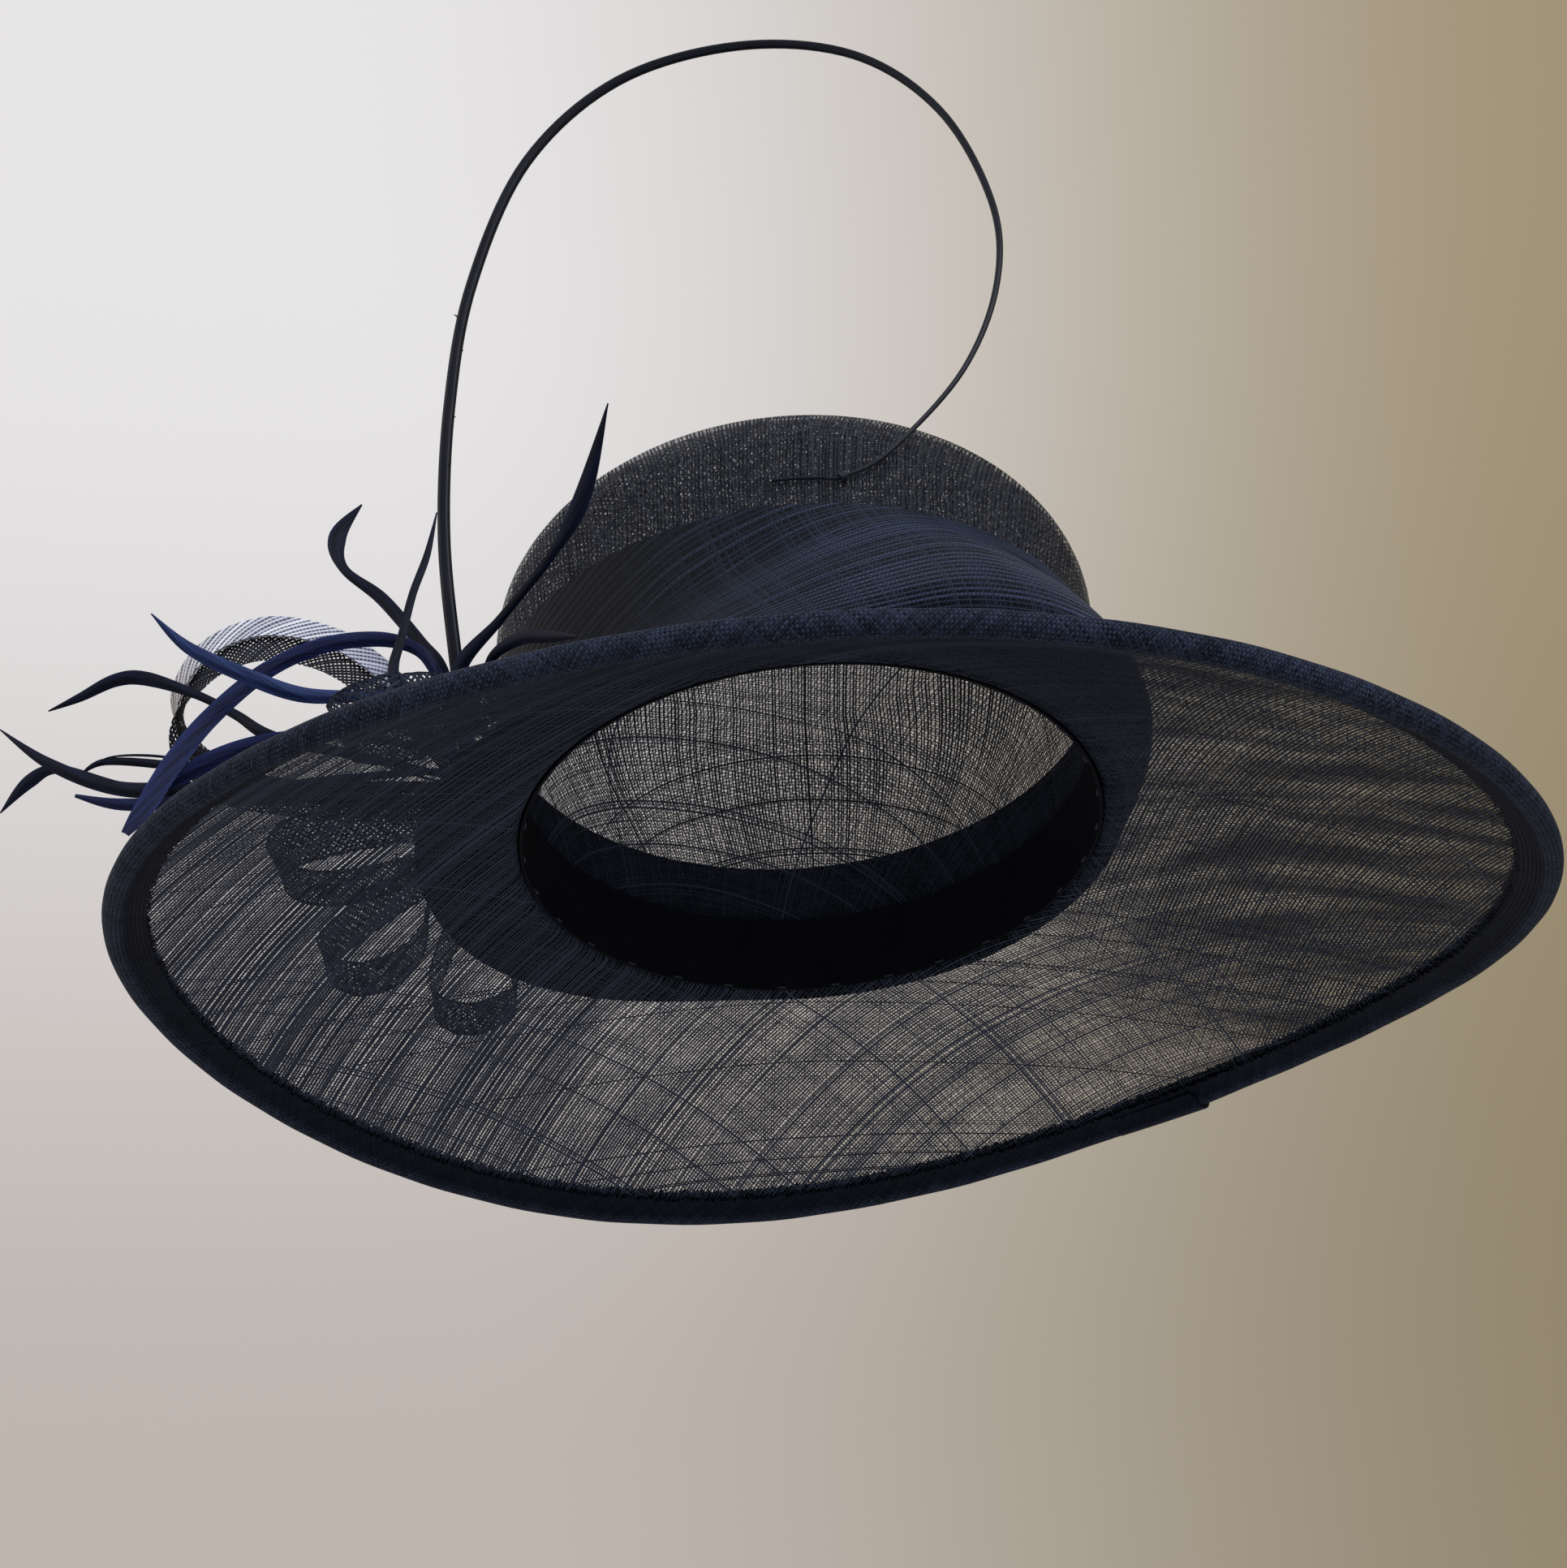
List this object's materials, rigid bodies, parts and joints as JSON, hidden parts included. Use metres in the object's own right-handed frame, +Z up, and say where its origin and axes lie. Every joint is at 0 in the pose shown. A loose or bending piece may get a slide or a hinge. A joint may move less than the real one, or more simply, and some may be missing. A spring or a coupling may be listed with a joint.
{
  "type": "wide-brimmed trimmed hat",
  "caption": "Wide-brimmed navy sinamay hat with a draped sash, bound edge and a side trim of cloth loops, feather strips and a looped quill, worn over the crown of the head.",
  "frame": {"origin": "centre of the head opening, in the plane of the crown's foot", "axes": "+Z up through the crown, -Y to the wearer's front, -X to the trimmed side"},
  "size_m": [0.4273, 0.4084, 0.2856],
  "materials": {
    "sinamay": "stiff open weave, matte with a faint sheen",
    "binding": "folded bias strip, dense weave",
    "edge_wire": "millinery wire",
    "petersham": "ribbed grosgrain",
    "thread": "sewing thread",
    "sash": "bias-draped weave with a bluish sheen",
    "loop_mesh": "open mesh",
    "silver_weave": "silver-lilac weave with white threads",
    "feather": "stripped feather, satin",
    "quill": "stripped quill, satin"
  },
  "bodies": {
    "root": {"crown": "sinamay", "brim": "sinamay", "brim_wire": "edge_wire", "edge_binding": "binding", "binding_lap": "binding", "head_ribbon": "petersham", "ribbon_stitches": "thread", "crown_sash": "sash", "trim_patch": "sinamay", "loop_lining": "loop_mesh", "loop_silver": "silver_weave", "loop_front": "loop_mesh", "loop_left": "loop_mesh", "loop_back_left": "loop_mesh", "loop_back": "loop_mesh", "biot_upright": "feather", "biot_crown": "feather", "biot_curled": "feather", "biot_hook": "feather", "biot_arch": "feather", "biot_blue": "feather", "biot_side": "feather", "biot_fork": "feather", "biot_fork_low": "feather", "biot_thin": "feather", "biot_low": "feather", "biot_edge": "feather", "quill": "quill", "quill_knot": "thread"}
  },
  "joints": []
}
